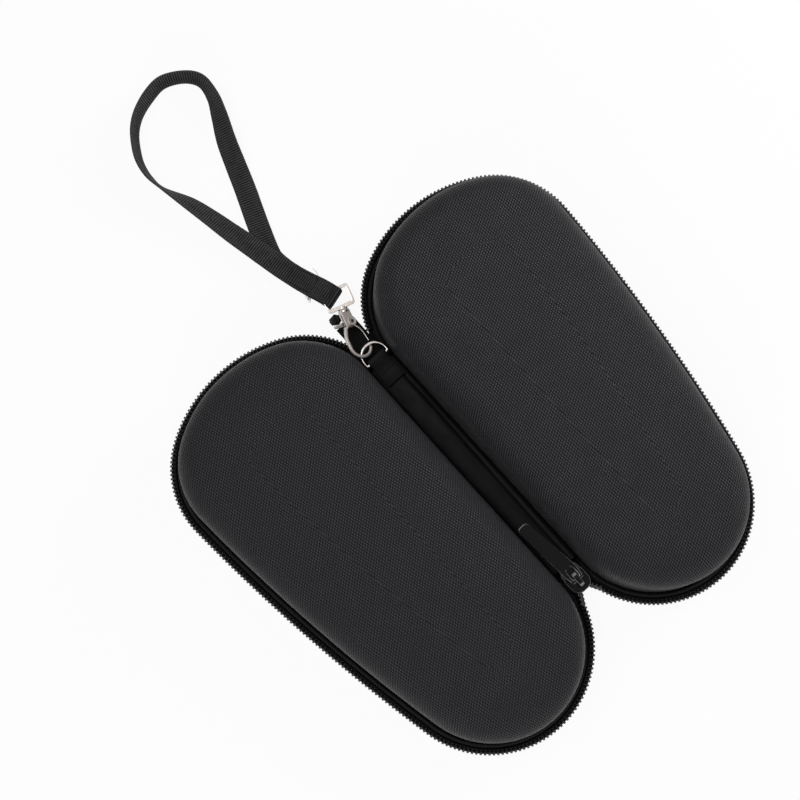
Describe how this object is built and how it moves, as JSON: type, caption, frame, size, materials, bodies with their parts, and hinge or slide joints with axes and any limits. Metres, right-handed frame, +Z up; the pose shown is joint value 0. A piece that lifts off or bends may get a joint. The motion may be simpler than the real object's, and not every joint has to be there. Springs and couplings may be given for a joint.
{
  "type": "electric shaver hard case",
  "caption": "Zippered clamshell hard case of woven-covered foam halves on a flexible spine, with a slider and puller, a D-ring, a swivel clasp and a wrist strap.",
  "frame": {"origin": "on the ground under the spine's centre line, midway along the halves' length", "axes": "+X across the open case towards the half with the elastic band, +Y along the spine towards the wide end with the ring and strap, +Z up, away from the ground the open rims rest on"},
  "size_m": [0.216, 0.3283, 0.03],
  "materials": {
    "woven_nylon": "matte woven synthetic, pressed over foam",
    "foam": "closed-cell foam, matte",
    "lining": "short-nap knitted lining",
    "piping": "ribbed woven binding",
    "zip_tape": "woven zip tape",
    "zip_coil": "glossy moulded coil",
    "mesh": "open net",
    "elastic": "woven elastic",
    "leatherette": "smooth coated fabric, low sheen",
    "webbing": "ribbed flat webbing",
    "slider": "glossy black enamel",
    "plated_metal": "polished nickel plating",
    "spring_steel": "plain spring steel"
  },
  "bodies": {
    "left_half": {"left_cover": "woven_nylon", "left_foam_shell": "foam", "left_lining": "lining", "left_piping": "piping", "left_zip_tape": "zip_tape", "left_zip_coil": "zip_coil", "mesh_pocket": "mesh", "pocket_elastic": "elastic"},
    "spine": {"spine_cover": "leatherette", "spine_lining": "lining", "ring_tab": "leatherette", "grab_tab": "webbing", "chain_end": "zip_coil"},
    "right_half": {"right_cover": "woven_nylon", "right_foam_shell": "foam", "right_lining": "lining", "right_piping": "piping", "right_zip_tape": "zip_tape", "right_zip_coil": "zip_coil", "elastic_band": "elastic"},
    "slider": {"slider_body": "slider", "slider_bridge": "slider"},
    "puller": {"zip_puller": "slider"},
    "ring": {"d_ring": "plated_metal"},
    "clasp": {"clasp_hook": "plated_metal", "gate_pin": "plated_metal", "gate_spring": "spring_steel"},
    "gate": {"clasp_gate": "plated_metal"},
    "eye": {"strap_eye": "plated_metal", "wrist_strap": "webbing"}
  },
  "joints": [
    {"name": "spine_fold", "type": "hinge", "parent": "left_half", "child": "spine", "pos_m": [-0.0071, 0, 0.0018], "axis": [0, 1, 0], "range_deg": [0, 90]},
    {"name": "right_fold", "type": "hinge", "parent": "spine", "child": "right_half", "pos_m": [0.0071, 0, 0.0018], "axis": [0, 1, 0], "range_deg": [0, 90]},
    {"name": "slider_travel", "type": "slide", "parent": "spine", "child": "slider", "axis": [0, -1, 0], "range_m": [0, 0.003]},
    {"name": "puller_swing", "type": "hinge", "parent": "slider", "child": "puller", "pos_m": [0, -0.0644, 0.00615], "axis": [1, 0, 0], "range_deg": [0, 170]},
    {"name": "ring_swing", "type": "hinge", "parent": "spine", "child": "ring", "pos_m": [0, 0.0632, 0.0049], "axis": [1, 0, 0], "range_deg": [0, 120]},
    {"name": "clasp_swing", "type": "hinge", "parent": "ring", "child": "clasp", "pos_m": [-0.001, 0.07, 0.004], "axis": [0.866, 0.5, 0], "range_deg": [0, 30]},
    {"name": "gate_opening", "type": "hinge", "parent": "clasp", "child": "gate", "pos_m": [0.00198, 0.08305, 0.00532], "axis": [-0.5094, 0.1461, -0.848], "range_deg": [0, 25], "stiffness_Nm_per_rad": 0.01},
    {"name": "eye_swivel", "type": "hinge", "parent": "clasp", "child": "eye", "pos_m": [-0.0019, 0.0723, 0.0058], "axis": [0.2756, 0.9613, 0], "continuous": true}
  ],
  "couplings": [
    {"joint": "right_fold", "follows": "spine_fold", "ratio": 1}
  ]
}
